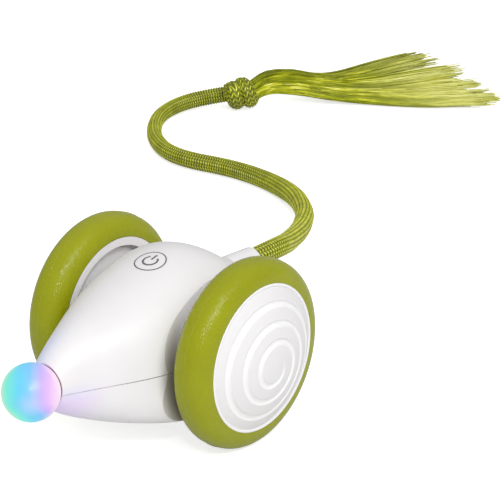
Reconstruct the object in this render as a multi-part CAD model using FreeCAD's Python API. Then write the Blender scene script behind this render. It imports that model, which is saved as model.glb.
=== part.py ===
import FreeCAD, Part
import math
import os

from FreeCAD import Vector

# A robotic mouse that a cat chases: a teardrop body hung between two driven wheels, with a
# lit nose and a cord tail. Millimetres. Everything is drawn about the middle of the axle line,
# nose towards -Y, the mouse's left wheel at +X, and is moved to the floor at the end.

# Wheels
wheel_radius = 30.0
track = 58.7            # between the middles of the two tyres
tyre_half_width = 6.55
flash_width = 0.3       # fine mould line round the middle of the tread
flash_height = 0.1
crown_depth = 8.1       # how far the rounded tread reaches in from the outside
crown_power = 2.5       # 2 is an ellipse, more is squarer
rim_depth = 6.6         # tread to the edge of the white parts in both sides of the tyre
tyre_lip = 1.4          # how far the tyre's seat lies inside that edge
rim_thickness = 1.15
drum_wall = 1.3
web_groove_width = 1.4
web_thickness = 1.6
web_recess = 3.0        # from the inner rim face to the web
web_groove_depth = 1.0
hub_boss_radius = 4.5
hub_ribs = 6
hub_rib_thickness = 1.2
hub_rib_height = 2.6
cap_rise = 6.5
cap_wall = 1.4
cap_lip_width = 0.9
cap_lip_height = 0.25
cap_skirt_wall = 1.0
cap_skirt_depth = 3.6
spiral_width = 2.3
spiral_depth = 0.7
spiral_pitch = 5.4
spiral_start_radius = 5.2
spiral_start_angle = 40.0
spiral_centre = (-1.9, -0.5)

# Body
nose_reach = 57.0       # axle line to the front edge of the shells
tail_reach = 36.0       # axle line to the rear end
body_half_width = 25.4
body_top = 26.5
body_bottom = 20.6
side_face = 20.75       # flat faces beside the wheels, at axle height
side_lean = 0.2         # how far they lean in for each millimetre up
shell_wall = 1.6
axle_pad_radius = 6.0
axle_pad_rise = 0.3     # round pad on each side face that carries the bush
seam_width = 0.2        # shadow line where the shells meet, and its depth
seam_depth = 0.5

# Nose ball
nose_ball_radius = 8.8
nose_ball_wall = 1.2
nose_ball_height = 1.6
nose_ball_lead = 6.5    # centre of the ball ahead of the shells' front edge
nose_neck_radius = 4.3
nose_neck_length = 4.0
nose_seat_gap = 0.3     # open line round the ball where it sits in the shells

# Tail
tail_height = 10.0
collar_reach = 39.0     # axle line to the collar's rear end
collar_front_radius = 5.0
collar_rear_radius = 4.25
collar_length = 12.5
socket_wall = 1.5
cord_radius = 3.5
cord_grip = 5.0         # length of cord held in the collar
knot_radius = 7.2
tassel_root_width = 9.6
tassel_root_height = 9.0
tassel_reach = 100.0     # middle of the knot to the tips
tassel_width = 84.0
tassel_height = 8.0
tassel_rise = 5.0        # how far it springs up beyond the knot

# Gears
module = 0.4
pressure_angle = math.radians(25)
addendum = 0.8 * module
dedendum = 1.05 * module
backlash = 0.08
pinion_teeth = 9
wheel_one_teeth = 30
small_one_teeth = 10
wheel_two_teeth = 28
small_two_teeth = 10
output_teeth = 32
output_face = 2.2
stage_face = 1.8
stage_gap = 0.4
motor_place = (-19.0, -1.0)
gear_one_bearing = 44.1  # direction from the motor to the first gear, degrees
plate = 1.0
box_wall = 1.0
box_top = 16.0          # height up to which the gearboxes clear the leaning walls
tip_room = 0.38
running = 0.05
axle_radius = 1.5
pin_radius = 0.75
motor_radius = 6.0
motor_flat = 5.0
motor_length = 12.0
bush_wall = 1.6
bush_flange = 1.0
lug_radius = 2.1
lug_places = [(-5.5, 9.0), (6.6, -6.6), (-17.5, -6.2)]
small_screw_radius = 0.6
small_screw_head = 1.2
small_screw_length = 6.0

# Inside the shells
clearance = 0.3
board_size = (24.0, 30.0, 1.0)
board_front = -18.0
board_height = 13.6
board_post_radius = 2.0
board_post_inset = 2.6
board_screw_radius = 0.8
board_screw_head = 1.7
battery_size = (25.0, 30.0, 6.0)
battery_front = -18.0
battery_height = -17.6
battery_rib = 1.2
shell_post_radius = 2.7
shell_post_places = [(0.0, -38.0), (11.0, 26.2), (-11.0, 26.2)]
shell_screw_radius = 1.0
shell_screw_head = 1.9
shell_screw_seat = -7.0
shell_screw_reach = 5.5
port_size = (8.94, 7.3, 3.2)
port_tongue = (6.7, 4.4, 0.7)
port_wall = 0.3
port_height = -2.8
port_board_size = (13.0, 6.5, 1.0)
nose_board_radius = 6.0
nose_board_thickness = 1.2
led_radius = 2.5
lead_radius = 0.6

# Worked out from the values above
rim_radius = wheel_radius - rim_depth
tyre_seat_radius = rim_radius - tyre_lip
drum_radius = tyre_seat_radius - drum_wall
web_radius = drum_radius - web_groove_width
tyre_mid = track / 2
rim_in = tyre_mid - tyre_half_width + 0.1
rim_out = tyre_mid + tyre_half_width - 0.1
wall_in = side_face - shell_wall
pad_face = side_face + axle_pad_rise
cover_out = wall_in - side_lean * box_top - clearance
cover_in = cover_out - plate
output_x = (cover_in - clearance - output_face, cover_in - clearance)
stage_two_x = (output_x[0] - stage_gap - stage_face, output_x[0] - stage_gap)
stage_one_x = (stage_two_x[0] - stage_gap - stage_face, stage_two_x[0] - stage_gap)
plate_in = stage_one_x[0] - stage_gap
motor_face = plate_in - plate
nose_y = -nose_reach - nose_ball_lead
axle_y = (nose_ball_radius - nose_y - collar_reach) / 2


def cylinder(radius, start, end):
    axis = end - start
    return Part.makeCylinder(radius, axis.Length, start, axis)


def along_x(radius, x0, x1, y, z):
    return cylinder(radius, Vector(x0, y, z), Vector(x1, y, z))


def upright(radius, x, y, z0, z1):
    return cylinder(radius, Vector(x, y, z0), Vector(x, y, z1))


def block(x0, x1, y0, y1, z0, z1):
    return Part.makeBox(x1 - x0, y1 - y0, z1 - z0, Vector(x0, y0, z0))


def fused(shapes):
    whole = shapes[0]
    for shape in shapes[1:]:
        whole = whole.fuse(shape)
    return whole.removeSplitter()


def turned(edges):
    """A solid of revolution about X from edges in the XZ plane."""
    face = Part.Face(Part.Wire(Part.__sortEdges__(edges)))
    return face.revolve(Vector(0, 0, 0), Vector(1, 0, 0), 360)


def lines(points):
    return [Part.LineSegment(a, b).toShape() for a, b in zip(points, points[1:])]


def at_radius(x, radius):
    return Vector(x, 0, radius)


def other_side(shape):
    """The same piece turned end for end about the vertical."""
    copy = shape.copy()
    copy.rotate(Vector(0, 0, 0), Vector(0, 0, 1), 180)
    return copy


def mirrored(shape):
    return shape.mirror(Vector(0, 0, 0), Vector(1, 0, 0))


# Teardrop body: sections from nose to tail. Each row is the place along the body as a share of
# the reach, the half width, top and bottom as shares of the greatest, the height of the widest
# line as a share of the bottom, and the squareness above and below it (2 is an ellipse).
body_sections = [
    (-1.00, 0.252, 0.322, 0.290, 0.04, 2.0, 2.0),
    (-0.86, 0.406, 0.522, 0.544, -0.09, 2.13, 2.4),
    (-0.70, 0.598, 0.645, 0.733, -0.245, 2.27, 2.9),
    (-0.50, 0.807, 0.776, 0.883, -0.46, 2.48, 3.6),
    (-0.25, 0.925, 0.925, 0.965, -0.70, 2.74, 4.4),
    (0.00, 0.985, 1.000, 1.000, -0.73, 2.74, 4.5),
    (0.30, 0.985, 0.892, 0.980, -0.72, 2.74, 4.4),
    (0.55, 0.874, 0.675, 0.874, -0.62, 2.6, 3.8),
    (0.77, 0.661, 0.485, 0.680, -0.45, 2.4, 3.0),
    (0.90, 0.465, 0.328, 0.485, -0.30, 2.2, 2.4),
    (0.97, 0.276, 0.175, 0.320, -0.18, 2.0, 2.0),
    (1.00, 0.126, 0.055, 0.190, -0.12, 2.0, 2.0),
]
section_points = 16


def body_section(row, inset):
    place, wide, high, low, widest, above_power, below_power = row
    y = place * (nose_reach if place < 0 else tail_reach - inset)
    middle = widest * body_bottom
    half = wide * body_half_width - inset
    above = high * body_top - inset - middle
    below = low * body_bottom - inset + middle
    points = []
    for step in range(section_points):
        angle = 2 * math.pi * (step + 0.5) / section_points
        power = above_power if angle < math.pi else below_power
        across = math.copysign(abs(math.cos(angle)) ** (2 / power), math.cos(angle))
        up = math.copysign(abs(math.sin(angle)) ** (2 / power), math.sin(angle))
        points.append(Vector(half * across, y, middle + up * (above if up > 0 else below)))
    curve = Part.BSplineCurve()
    curve.interpolate(Points=points, PeriodicFlag=True)
    return Part.Wire(curve.toShape())


def body_solid(inset):
    """The teardrop, or the space inside it when inset by the wall."""
    last = len(body_sections) if not inset else len(body_sections) - 1
    wires = [body_section(row, inset) for row in body_sections[:last]]
    solid = Part.makeLoft(wires, True, False)
    reach = nose_reach + tail_reach
    flat = side_face - inset
    top = body_top * 1.2
    corners = [(flat, -reach), (flat, 0), (flat - side_lean * top, top)]
    corners += [(-x, z) for x, z in corners[::-1]]
    points = [Vector(x, -reach, z) for x, z in corners]
    slab = Part.Face(Part.makePolygon(points + [points[0]])).extrude(Vector(0, 2 * reach, 0))
    return solid.common(slab)


def axle_pads():
    return [along_x(axle_pad_radius, side * (wall_in - 0.5), side * pad_face, 0, 0)
            for side in (-1, 1)]


def nose_seat():
    return Part.makeSphere(nose_ball_radius + running, Vector(0, nose_y, nose_ball_height))


def open_seams(outer):
    """What is taken off the shells' outer skin along the line where they meet and round the ball."""
    skin = outer.cut(body_solid(seam_depth))
    reach = nose_reach + tail_reach
    line = block(-reach, reach, -reach, reach, -seam_width, 0)
    ball = Part.makeSphere(nose_ball_radius + nose_seat_gap, Vector(0, nose_y, nose_ball_height))
    return skin.common(line), skin.common(ball)


def half_space(upper):
    reach = nose_reach + tail_reach
    return block(-reach, reach, -reach, reach, 0, reach) if upper else block(
        -reach, reach, -reach, reach, -reach, 0)


def board_posts():
    width, length, thick = board_size
    x = width / 2 - board_post_inset
    rows = (board_front + board_post_inset, board_front + length - board_post_inset)
    return [(side * x, y) for side in (-1, 1) for y in rows]


def socket_space(radius, start):
    return cylinder(radius, Vector(0, start, tail_height), Vector(0, tail_reach * 2, tail_height))


socket_front = collar_reach - collar_length
socket_radius = collar_front_radius + 0.08


def upper_shell(outer, inner, seams):
    shell = fused([outer.cut(inner)] + axle_pads())
    top = board_height + board_size[2]
    for x, y in board_posts():
        post = upright(board_post_radius, x, y, top, body_top)
        shell = shell.fuse(post.common(outer))
    for x, y in shell_post_places:
        shell = shell.fuse(upright(shell_post_radius, x, y, 0, body_top).common(outer))
    boss = socket_space(socket_radius + socket_wall, socket_front - plate - 0.1)
    shell = shell.fuse(boss.common(outer)).common(half_space(True))
    shell = shell.cut(socket_space(socket_radius, socket_front - 0.1))
    for x, y in board_posts():
        shell = shell.cut(upright(board_screw_radius, x, y, top, top + 4))
    for x, y in shell_post_places:
        shell = shell.cut(upright(shell_screw_radius, x, y, 0, shell_screw_reach + 0.3))
    return shell.cut(nose_seat()).cut(seams[1]).removeSplitter()


def lower_shell(outer, inner, seams):
    shell = fused([outer.cut(inner)] + axle_pads())
    for x, y in shell_post_places:
        shell = shell.fuse(upright(shell_post_radius + 0.5, x, y, -body_bottom, 0).common(outer))
    width, length, thick = battery_size
    for y in (battery_front + length * 0.2, battery_front + length * 0.8):
        rib = block(-width / 2, width / 2, y - battery_rib / 2, y + battery_rib / 2,
                    -body_bottom, battery_height)
        shell = shell.fuse(rib.common(outer))
    port_board_top = port_height - port_size[2] / 2
    ledge = block(-port_board_size[0] / 2, port_board_size[0] / 2, port_front() - 1.0,
                  port_front() + 1.0, -body_bottom, port_board_top - port_board_size[2])
    shell = shell.fuse(ledge.common(outer)).common(half_space(False))
    for x, y in shell_post_places:
        shell = shell.cut(upright(shell_screw_radius + 0.1, x, y, shell_screw_seat, 0))
        shell = shell.cut(upright(shell_screw_head + 0.3, x, y, -body_bottom, shell_screw_seat))
    shell = shell.cut(port_body(clearance / 2))
    return shell.cut(nose_seat()).cut(seams[0]).cut(seams[1]).removeSplitter()


def port_front():
    return tail_reach - 1.6 - port_size[1]


def rounded_slot(width, length, height, y, z):
    """A flat bar with round sides, along Y."""
    r = height / 2
    half = width / 2 - r
    bar = block(-half, half, y, y + length, z - r, z + r)
    ends = [cylinder(r, Vector(x, y, z), Vector(x, y + length, z)) for x in (-half, half)]
    return fused([bar] + ends)


def port_body(grow):
    width, length, height = port_size
    return rounded_slot(width + 2 * grow, length + 2 * grow + (8 if grow else 0),
                        height + 2 * grow, port_front() - grow, port_height)


def charge_port():
    width, length, height = port_size
    shell = port_body(0)
    hollow = rounded_slot(width - 2 * port_wall, length, height - 2 * port_wall,
                          port_front() + 1.2, port_height)
    tongue_w, tongue_l, tongue_h = port_tongue
    tongue = block(-tongue_w / 2, tongue_w / 2, port_front() + 1.0, port_front() + 1.2 + tongue_l,
                   port_height - tongue_h / 2, port_height + tongue_h / 2)
    return fused([shell.cut(hollow), tongue])


def screw(head_radius, head, radius, length, place, axis):
    """A pan head screw whose head sits at the place, with the shank along the axis."""
    shank = Part.makeCylinder(radius, length, place, axis)
    top = Part.makeCylinder(head_radius, head, place - axis * head, axis)
    return fused([shank, top])


# Nose ball: a hollow clear ball with a neck that the shells' front edge grips.
def nose_dome():
    centre = Vector(0, nose_y, nose_ball_height)
    neck_end = Vector(0, -nose_reach + nose_neck_length, nose_ball_height)
    outer = Part.makeSphere(nose_ball_radius, centre).fuse(
        cylinder(nose_neck_radius, centre, neck_end))
    hollow = Part.makeSphere(nose_ball_radius - nose_ball_wall, centre).fuse(
        cylinder(nose_neck_radius - nose_ball_wall, centre, neck_end))
    return outer.cut(hollow).removeSplitter()


# Wheels
def tyre():
    points = []
    crown = wheel_radius - flash_height
    inner = rim_radius - (crown - crown_depth)
    first = math.asin((inner / crown_depth) ** (crown_power / 2))
    steps = 6
    for step in range(steps + 1):
        angle = first + (math.pi - 2 * first) * step / steps
        across = math.copysign(abs(math.cos(angle)) ** (2 / crown_power), math.cos(angle))
        out = math.sin(angle) ** (2 / crown_power)
        points.append(at_radius(tyre_mid - tyre_half_width * across,
                                crown - crown_depth + crown_depth * out))
    tread = Part.BSplineCurve()
    tread.interpolate(points)
    left, right = points[0], points[-1]
    recess = (rim_in + rim_thickness, rim_out - rim_thickness)
    rest = lines([right, at_radius(recess[1], rim_radius), at_radius(recess[1], tyre_seat_radius),
                  at_radius(recess[0], tyre_seat_radius), at_radius(recess[0], rim_radius), left])
    flash = along_x(wheel_radius, tyre_mid - flash_width / 2, tyre_mid + flash_width / 2, 0, 0)
    flash = flash.cut(along_x(crown - 1, 0, tyre_mid * 2, 0, 0))
    return turned([tread.toShape()] + rest).fuse(flash)


web_in = rim_in + web_recess
hub_boss_in = pad_face + bush_flange + clearance
hub_boss_out = web_in + web_thickness + 1.6


def hub():
    web_out = web_in + web_thickness
    drum_out = rim_out - rim_thickness - 0.1
    profile = [at_radius(rim_in, rim_radius), at_radius(rim_in + rim_thickness, rim_radius),
               at_radius(rim_in + rim_thickness, tyre_seat_radius),
               at_radius(drum_out, tyre_seat_radius), at_radius(drum_out, drum_radius),
               at_radius(web_out, drum_radius), at_radius(web_out, hub_boss_radius),
               at_radius(hub_boss_out, hub_boss_radius), at_radius(hub_boss_out, axle_radius),
               at_radius(hub_boss_in, axle_radius), at_radius(hub_boss_in, hub_boss_radius - 0.8),
               at_radius(web_in, hub_boss_radius), at_radius(web_in, web_radius),
               at_radius(web_in + web_groove_depth, web_radius),
               at_radius(web_in + web_groove_depth, drum_radius),
               at_radius(rim_in, drum_radius), at_radius(rim_in, rim_radius)]
    wheel = turned(lines(profile))
    for index in range(hub_ribs):
        rib = block(web_out - 0.2, web_out + hub_rib_height, -hub_rib_thickness / 2,
                    hub_rib_thickness / 2, hub_boss_radius - 0.5, drum_radius + 0.2)
        rib.rotate(Vector(0, 0, 0), Vector(1, 0, 0), 360 * index / hub_ribs)
        wheel = wheel.fuse(rib)
    return wheel.removeSplitter()


cap_edge = rim_radius - cap_lip_width
cap_sphere = (cap_edge ** 2 + cap_rise ** 2) / (2 * cap_rise)
cap_centre = rim_out + cap_rise - cap_sphere
spiral_half_turns = math.ceil(2 * (cap_edge - spiral_start_radius) / spiral_pitch)


def ball_cap(radius, x0):
    """The part of a ball on the dome's centre that lies outside the plane x0."""
    ball = Part.makeSphere(radius, Vector(cap_centre, 0, 0))
    return ball.common(block(x0, x0 + cap_sphere, -cap_sphere, cap_sphere, -cap_sphere, cap_sphere))


def half_circle(start, end, side):
    """Half a circle from one place on the spiral's axis to another, passing below or above it."""
    middle = (start + end) / 2
    radius = abs(start - end) / 2
    return Part.Arc(Vector(0, start, 0), Vector(0, middle, -side * radius),
                    Vector(0, end, 0)).toShape()


def spiral_turns():
    """A flat spiral of half circles, each half a pitch wider than the last, from a pointed tip."""
    faces = []
    for turn in range(spiral_half_turns):
        side = 1 if turn % 2 == 0 else -1
        near = side * (spiral_start_radius + spiral_pitch * (turn - 0.5) / 2)
        far = -side * (spiral_start_radius + spiral_pitch * (turn + 0.5) / 2)
        half = side * spiral_width / 2
        tip = half if turn else 0
        rims = [half_circle(near - tip, far + half, side), half_circle(near + tip, far - half, side)]
        ends = [Part.LineSegment(Vector(0, far + half, 0), Vector(0, far - half, 0)).toShape()]
        if turn:
            ends += [Part.LineSegment(Vector(0, near - half, 0), Vector(0, near + half, 0)).toShape()]
        faces.append(Part.Face(Part.Wire(Part.__sortEdges__(rims + ends))))
    return faces


def hub_cap():
    seat = rim_out - rim_thickness
    dome = ball_cap(cap_sphere, rim_out)
    edge = along_x(rim_radius, seat, rim_out, 0, 0)
    lip = along_x(rim_radius, rim_out, rim_out + cap_lip_height, 0, 0).cut(
        along_x(cap_edge, rim_out - 1, rim_out + 1, 0, 0))
    skirt_radius = drum_radius - 0.1
    skirt = along_x(skirt_radius, seat - cap_skirt_depth, rim_out, 0, 0)
    inside = along_x(skirt_radius - cap_skirt_wall, 0, tyre_mid * 2, 0, 0)
    hollow = inside.common(Part.makeSphere(cap_sphere - cap_wall, Vector(cap_centre, 0, 0)))
    return fused([dome, edge, lip, skirt]).cut(hollow).cut(spiral_groove()).removeSplitter()


def spiral_groove():
    """The flat spiral carried up through the dome, down to the groove's floor."""
    floor = Part.makeSphere(cap_sphere - spiral_depth, Vector(cap_centre, 0, 0))
    bands = fused([face.extrude(Vector(tyre_mid * 2, 0, 0)) for face in spiral_turns()])
    bands.rotate(Vector(0, 0, 0), Vector(1, 0, 0), spiral_start_angle)
    bands.translate(Vector(0, *spiral_centre))
    return bands.cut(floor).common(along_x(cap_edge, rim_out, tyre_mid * 2, 0, 0))


# Gears: flanks are chords of the involute, which keeps a little free play in the mesh.
def involute(angle):
    return math.tan(angle) - angle


def gear_solid(teeth, x0, x1, phase, steps):
    pitch = module * teeth / 2
    base = pitch * math.cos(pressure_angle)
    half = math.pi / (2 * teeth) - backlash / (2 * pitch) + involute(pressure_angle)
    root, tip = pitch - dedendum, pitch + addendum
    flank = []
    for step in range(steps + 1):
        radius = root + (tip - root) * step / steps
        spread = involute(math.acos(min(1.0, base / radius)))
        flank.append((radius, half - spread))
    points = []
    for tooth in range(teeth):
        middle = phase + 2 * math.pi * tooth / teeth
        outline = [(r, middle - a) for r, a in flank] + [(r, middle + a) for r, a in flank[::-1]]
        points += [Vector(x0, r * math.cos(a), r * math.sin(a)) for r, a in outline]
    wire = Part.makePolygon(points + [points[0]])
    return Part.Face(wire).extrude(Vector(x1 - x0, 0, 0))


def gap_phase(from_place, to_place, teeth_from, phase_from, teeth_to):
    """Phase that puts a gap of the second gear on a tooth of the first."""
    bearing = math.atan2(to_place[1] - from_place[1], to_place[0] - from_place[0])
    step_from, step_to = 2 * math.pi / teeth_from, 2 * math.pi / teeth_to
    share = ((bearing - phase_from) / step_from) % 1.0
    return bearing + math.pi - step_to * (0.5 - share)


def circles_meet(a, ra, b, rb, side):
    """The point at ra from a and rb from b."""
    dy, dz = b[0] - a[0], b[1] - a[1]
    apart = math.hypot(dy, dz)
    along = (ra * ra - rb * rb + apart * apart) / (2 * apart)
    off = side * math.sqrt(ra * ra - along * along)
    return (a[0] + (along * dy - off * dz) / apart, a[1] + (along * dz + off * dy) / apart)


reach_one = module * (pinion_teeth + wheel_one_teeth) / 2
reach_two = module * (small_one_teeth + wheel_two_teeth) / 2
reach_out = module * (small_two_teeth + output_teeth) / 2
one_place = (motor_place[0] + reach_one * math.cos(math.radians(gear_one_bearing)),
             motor_place[1] + reach_one * math.sin(math.radians(gear_one_bearing)))
two_place = circles_meet((0.0, 0.0), reach_out, one_place, reach_two, 1)

output_phase = 0.0
small_two_phase = gap_phase((0.0, 0.0), two_place, output_teeth, output_phase, small_two_teeth)
wheel_two_phase = 0.1
small_one_phase = gap_phase(two_place, one_place, wheel_two_teeth, wheel_two_phase,
                            small_one_teeth)
wheel_one_phase = 0.2
pinion_phase = gap_phase(one_place, motor_place, wheel_one_teeth, wheel_one_phase, pinion_teeth)


def placed(shape, place):
    shape.translate(Vector(0, place[0], place[1]))
    return shape


def output_gear():
    gear = gear_solid(output_teeth, output_x[0], output_x[1], output_phase, 1)
    return gear.cut(along_x(axle_radius, 0, side_face, 0, 0))


def compound_gear(big, big_x, big_phase, small, small_x, small_phase, place):
    wheel = gear_solid(big, big_x[0], big_x[1], big_phase, 1)
    spur = gear_solid(small, small_x[0], small_x[1], small_phase, 2)
    bore = along_x(pin_radius + running, 0, side_face, 0, 0)
    return placed(fused([wheel, spur]).cut(bore), place)


def gear_one():
    small_x = (stage_one_x[1], stage_two_x[1])
    return compound_gear(wheel_one_teeth, stage_one_x, wheel_one_phase,
                         small_one_teeth, small_x, small_one_phase, one_place)


def gear_two():
    small_x = (stage_two_x[1], output_x[1])
    return compound_gear(wheel_two_teeth, stage_two_x, wheel_two_phase,
                         small_two_teeth, small_x, small_two_phase, two_place)


def pinion():
    gear = gear_solid(pinion_teeth, stage_one_x[0] - 0.1, stage_one_x[1], pinion_phase, 2)
    shaft = along_x(pin_radius, motor_face - 3, stage_one_x[1], 0, 0)
    return placed(fused([gear, shaft]), motor_place)


def tapered_slot(a, ra, b, rb, x0, x1):
    """Two round ends joined by straight tangent sides."""
    dy, dz = b[0] - a[0], b[1] - a[1]
    apart = math.hypot(dy, dz)
    bearing = math.atan2(dz, dy)
    lean = math.acos((ra - rb) / apart)
    corners = []
    for centre, radius, signs in ((a, ra, (1, -1)), (b, rb, (-1, 1))):
        for sign in signs:
            angle = bearing + sign * lean
            corners.append(Vector(x0, centre[0] + radius * math.cos(angle),
                                  centre[1] + radius * math.sin(angle)))
    middle = Part.Face(Part.makePolygon(corners + [corners[0]])).extrude(Vector(x1 - x0, 0, 0))
    return fused([middle, along_x(ra, x0, x1, a[0], a[1]), along_x(rb, x0, x1, b[0], b[1])])


def train_outline(grow, x0, x1, motor_lobe):
    tip = addendum + tip_room + grow
    stops = [((0.0, 0.0), module * output_teeth / 2 + tip),
             (two_place, module * wheel_two_teeth / 2 + tip),
             (one_place, module * wheel_one_teeth / 2 + tip),
             (motor_place, motor_lobe + grow)]
    lobes = [tapered_slot(a, ra, b, rb, x0, x1) for (a, ra), (b, rb) in zip(stops, stops[1:])]
    return fused(lobes)


pinion_lobe = module * pinion_teeth / 2 + addendum + tip_room


def gearbox():
    tray = train_outline(box_wall, motor_face, cover_in, pinion_lobe)
    lugs = [along_x(lug_radius, motor_face, cover_in, y, z) for y, z in lug_places]
    holder = along_x(motor_radius, motor_face, plate_in, *motor_place)
    tray = fused([tray, holder] + lugs)
    tray = tray.cut(train_outline(0, plate_in, cover_in + 1, pinion_lobe))
    holes = [along_x(axle_radius + running, 0, side_face, 0, 0),
             along_x(pin_radius, 0, side_face, *one_place),
             along_x(pin_radius, 0, side_face, *two_place),
             along_x(pin_radius + 0.4, 0, side_face, *motor_place)]
    depth = small_screw_length - plate
    holes += [along_x(small_screw_radius, cover_in - depth - 0.2, side_face, y, z)
              for y, z in lug_places]
    for hole in holes:
        tray = tray.cut(hole)
    return tray.removeSplitter()


def gearbox_cover():
    lid = train_outline(box_wall, cover_in, cover_out, pinion_lobe)
    lugs = [along_x(lug_radius, cover_in, cover_out, y, z) for y, z in lug_places]
    lid = fused([lid] + lugs)
    holes = [along_x(axle_radius + running, 0, side_face, 0, 0),
             along_x(pin_radius, 0, side_face, *one_place),
             along_x(pin_radius, 0, side_face, *two_place)]
    holes += [along_x(small_screw_radius + 0.1, 0, side_face, y, z) for y, z in lug_places]
    holes += [along_x(small_screw_head + 0.1, cover_out - 0.6, side_face, y, z)
              for y, z in lug_places]
    for hole in holes:
        lid = lid.cut(hole)
    return lid.removeSplitter()


def gearbox_screws():
    place_x = cover_out - 0.6
    return [screw(small_screw_head, 0.6, small_screw_radius, small_screw_length - 0.6,
                  Vector(place_x, y, z), Vector(-1, 0, 0)) for y, z in lug_places]


def gear_pins():
    return [along_x(pin_radius, motor_face, cover_out, *place) for place in (one_place, two_place)]


def motor():
    y, z = motor_place
    can = along_x(motor_radius, motor_face - motor_length, motor_face, y, z)
    flats = block(motor_face - motor_length, motor_face, y - motor_flat, y + motor_flat,
                  z - motor_radius, z + motor_radius)
    tail = along_x(2.4, motor_face - motor_length - 0.8, motor_face - motor_length, y, z)
    body = fused([can.common(flats), tail])
    return body.cut(along_x(pin_radius + running, motor_face - 3.2, motor_face + 1, y, z))


def bush():
    radius = axle_radius + bush_wall
    sleeve = along_x(radius, wall_in, pad_face, 0, 0)
    flange = along_x(radius + bush_flange, pad_face, pad_face + bush_flange, 0, 0)
    return fused([sleeve, flange]).cut(along_x(axle_radius + running, 0, track, 0, 0))


axle_in = motor_face + 0.2
axle_out = hub_boss_out - 0.3
axle_screw_radius = 0.8


def axle():
    rod = along_x(axle_radius, axle_in, axle_out, 0, 0)
    return rod.cut(along_x(axle_screw_radius, axle_out - 5, axle_out, 0, 0))


def axle_screw():
    washer = along_x(3.0, hub_boss_out, hub_boss_out + 0.5, 0, 0)
    pan = screw(1.8, 1.3, axle_screw_radius, 5, Vector(hub_boss_out + 0.5, 0, 0),
                Vector(-1, 0, 0))
    return fused([washer, pan])


# Inside
def main_board():
    width, length, thick = board_size
    board = block(-width / 2, width / 2, board_front, board_front + length,
                  board_height, board_height + thick)
    for x, y in board_posts():
        board = board.cut(upright(board_screw_radius + 0.15, x, y, 0, body_top))
    return board


def board_chips():
    top = board_height + board_size[2]
    middle = board_front + board_size[1] / 2
    sizes = [(-5.0, middle + 5.0, 6.0, 6.0, 0.9), (5.5, middle + 4.0, 4.0, 5.0, 1.2),
             (-7.5, middle - 5.0, 3.0, 3.0, 0.9), (7.5, middle - 6.0, 5.0, 3.5, 1.6)]
    return [block(x - w / 2, x + w / 2, y - l / 2, y + l / 2, top, top + h)
            for x, y, w, l, h in sizes]


def board_screws():
    return [screw(board_screw_head, 0.9, board_screw_radius, 4.6,
                  Vector(x, y, board_height), Vector(0, 0, 1)) for x, y in board_posts()]


def touch_pad(inner):
    """A foam contact from the board to the roof, under the touch ring."""
    y = board_front + 8.5
    top = board_height + board_size[2]
    post = upright(3.5, 0, y, top, body_top)
    return post.common(inner.translated(Vector(0, 0, -clearance)))


def battery():
    width, length, thick = battery_size
    cell = block(-width / 2, width / 2, battery_front, battery_front + length,
                 battery_height, battery_height + thick)
    edges = [edge for edge in cell.Edges if abs(edge.tangentAt(edge.FirstParameter).y) > 0.9]
    return cell.makeFillet(1.5, edges)


def shell_screws():
    length = shell_screw_reach - shell_screw_seat
    return [screw(shell_screw_head, 1.4, shell_screw_radius, length,
                  Vector(x, y, shell_screw_seat), Vector(0, 0, 1)) for x, y in shell_post_places]


def port_board():
    width, length, thick = port_board_size
    top = port_height - port_size[2] / 2
    return block(-width / 2, width / 2, port_front() - 1.0, port_front() - 1.0 + length,
                 top - thick, top)


nose_board_y = -nose_reach + nose_neck_length


def nose_board():
    start = Vector(0, nose_board_y, nose_ball_height)
    end = Vector(0, nose_board_y + nose_board_thickness, nose_ball_height)
    return cylinder(nose_board_radius, start, end)


def nose_led():
    base = Vector(0, nose_board_y, nose_ball_height)
    tip = Vector(0, nose_board_y - 4.5, nose_ball_height)
    lens = Part.makeSphere(led_radius, tip)
    return fused([cylinder(led_radius, base, tip), lens])


# Tail
def tail_sleeve():
    start = Vector(0, socket_front, tail_height)
    collar = Part.makeCone(collar_front_radius, collar_rear_radius, collar_length, start,
                           Vector(0, 1, 0))
    end = Vector(0, collar_reach, tail_height)
    bore = cylinder(cord_radius, Vector(0, collar_reach - cord_grip, tail_height), end)
    return collar.cut(bore)


# Route of the tail's cord: out of the collar, down to the floor and round to the knot.
# Along X and Y from the middle of the axle line, and height above the floor.
exit_z = tail_height + wheel_radius
cord_route = [Vector(x, y + axle_y, z) for x, y, z in [
    (0, collar_reach - cord_grip, exit_z),
    (0, collar_reach + 13.4, exit_z),
    (-9.4, collar_reach + 29.1, exit_z - 6.4),
    (-16.3, 79.3, cord_radius + 25.9),
    (-27.6, 97.9, cord_radius + 19.4),
    (-40.5, 118, cord_radius + 13),
    (-57.9, 142.5, cord_radius + 6.3),
    (-83.7, 167.3, cord_radius),
    (-113.2, 173.5, cord_radius),
    (-141.7, 167.5, cord_radius),
    (-161.2, 176.9, cord_radius),
    (-177, 195.6, cord_radius),
    (-182.5, 212.6, cord_radius),
    (-178.6, 227.1, cord_radius + 1),
    (-169, 237, cord_radius + 2.5),
]]
knot_place = Vector(-164.2, 236.5 + axle_y, knot_radius)
tassel_bearing = 57.5    # degrees from +X, along the floor


def arc_run(points, share):
    """Straight runs joined by tangent arcs, and the radius of each arc."""
    edges, radii, start = [], [], points[0]
    for before, corner, after in zip(points, points[1:], points[2:]):
        back, ahead = before - corner, after - corner
        turn = math.pi - back.getAngle(ahead)
        reach = share * min(back.Length, ahead.Length)
        radius = reach / math.tan(turn / 2)
        back.normalize()
        ahead.normalize()
        first, last = corner + back * reach, corner + ahead * reach
        inward = (back + ahead).normalize()
        middle = corner + inward * (radius / math.cos(turn / 2) - radius)
        edges.append(Part.LineSegment(start, first).toShape())
        edges.append(Part.Arc(first, middle, last).toShape())
        radii.append(round(radius, 1))
        start = last
    edges.append(Part.LineSegment(start, points[-1]).toShape())
    return edges, radii


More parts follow.
